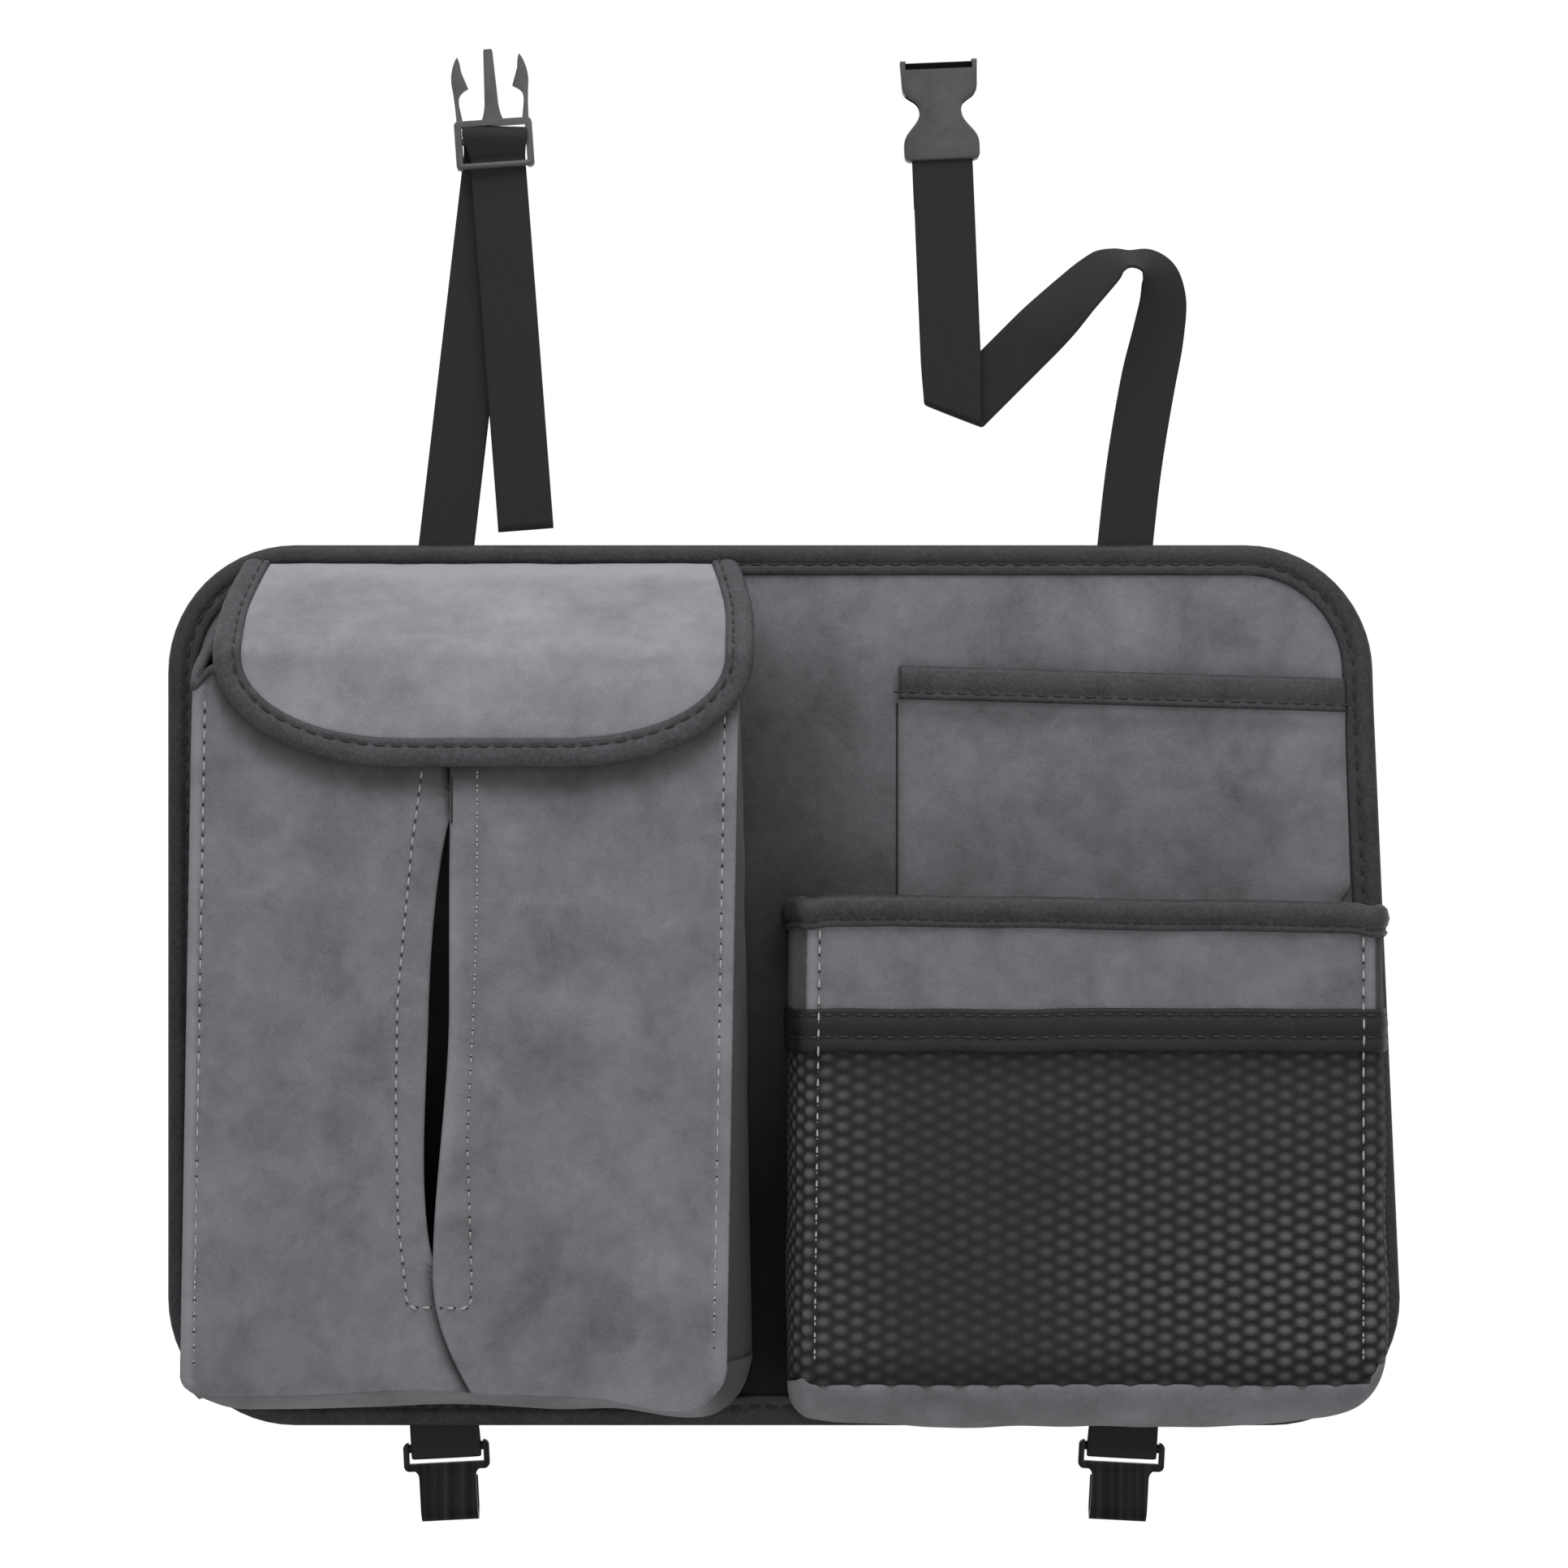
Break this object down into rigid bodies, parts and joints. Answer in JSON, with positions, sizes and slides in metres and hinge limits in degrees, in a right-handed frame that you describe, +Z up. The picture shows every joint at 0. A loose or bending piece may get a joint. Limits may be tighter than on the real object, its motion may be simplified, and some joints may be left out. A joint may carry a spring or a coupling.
{
  "type": "back seat organizer",
  "caption": "Car seat-back organizer: a stiff bound panel with a flapped tissue pocket, a netted box pocket and a slip pocket, on buckled webbing straps with lower hooks.",
  "frame": {"origin": "the middle of the panel's flat rear face, which lies against the seat back", "axes": "+Y out of the panel's rear face into the seat back, +Z up along the straps, +X to the right seen from the front; the front faces -Y"},
  "size_m": [0.4435, 0.0688, 0.5327],
  "materials": {
    "suede": "faux suede, mottled grey",
    "binding": "smooth dark grey faux leather",
    "lining": "plain black cloth",
    "board": "stiffening sheet, hidden",
    "webbing": "black woven webbing",
    "net": "black hexagonal spacer net",
    "buckle": "dark grey moulded plastic, slight sheen",
    "hook": "black moulded plastic"
  },
  "bodies": {
    "organizer": {"left_strap": "webbing", "right_strap": "webbing", "male_buckle": "buckle", "female_buckle": "buckle", "left_tab": "webbing", "right_tab": "webbing", "panel_face": "suede", "panel_board": "board", "panel_lining": "lining", "panel_binding": "binding", "tissue_front_left": "suede", "tissue_front_right": "suede", "tissue_gusset_left": "suede", "tissue_gusset_right": "suede", "tissue_base": "suede", "tissue_rim_binding": "binding", "tissue_flap": "suede", "tissue_flap_binding": "binding", "slip_pocket": "suede", "slip_pocket_binding": "binding", "box_band": "suede", "box_net": "net", "box_net_binding": "binding", "box_rim_binding": "binding", "box_base": "suede"},
    "left_hook_body": {"left_hook": "hook"},
    "right_hook_body": {"right_hook": "hook"}
  },
  "joints": [
    {"name": "left_hook_swing", "type": "hinge", "parent": "organizer", "child": "left_hook_body", "pos_m": [-0.12229, -0.0006, -0.16727], "axis": [0.9986, 0, 0.0523], "range_deg": [-90, 90]},
    {"name": "right_hook_swing", "type": "hinge", "parent": "organizer", "child": "right_hook_body", "pos_m": [0.12229, -0.0006, -0.16727], "axis": [0.9986, 0, -0.0523], "range_deg": [-90, 90]}
  ]
}
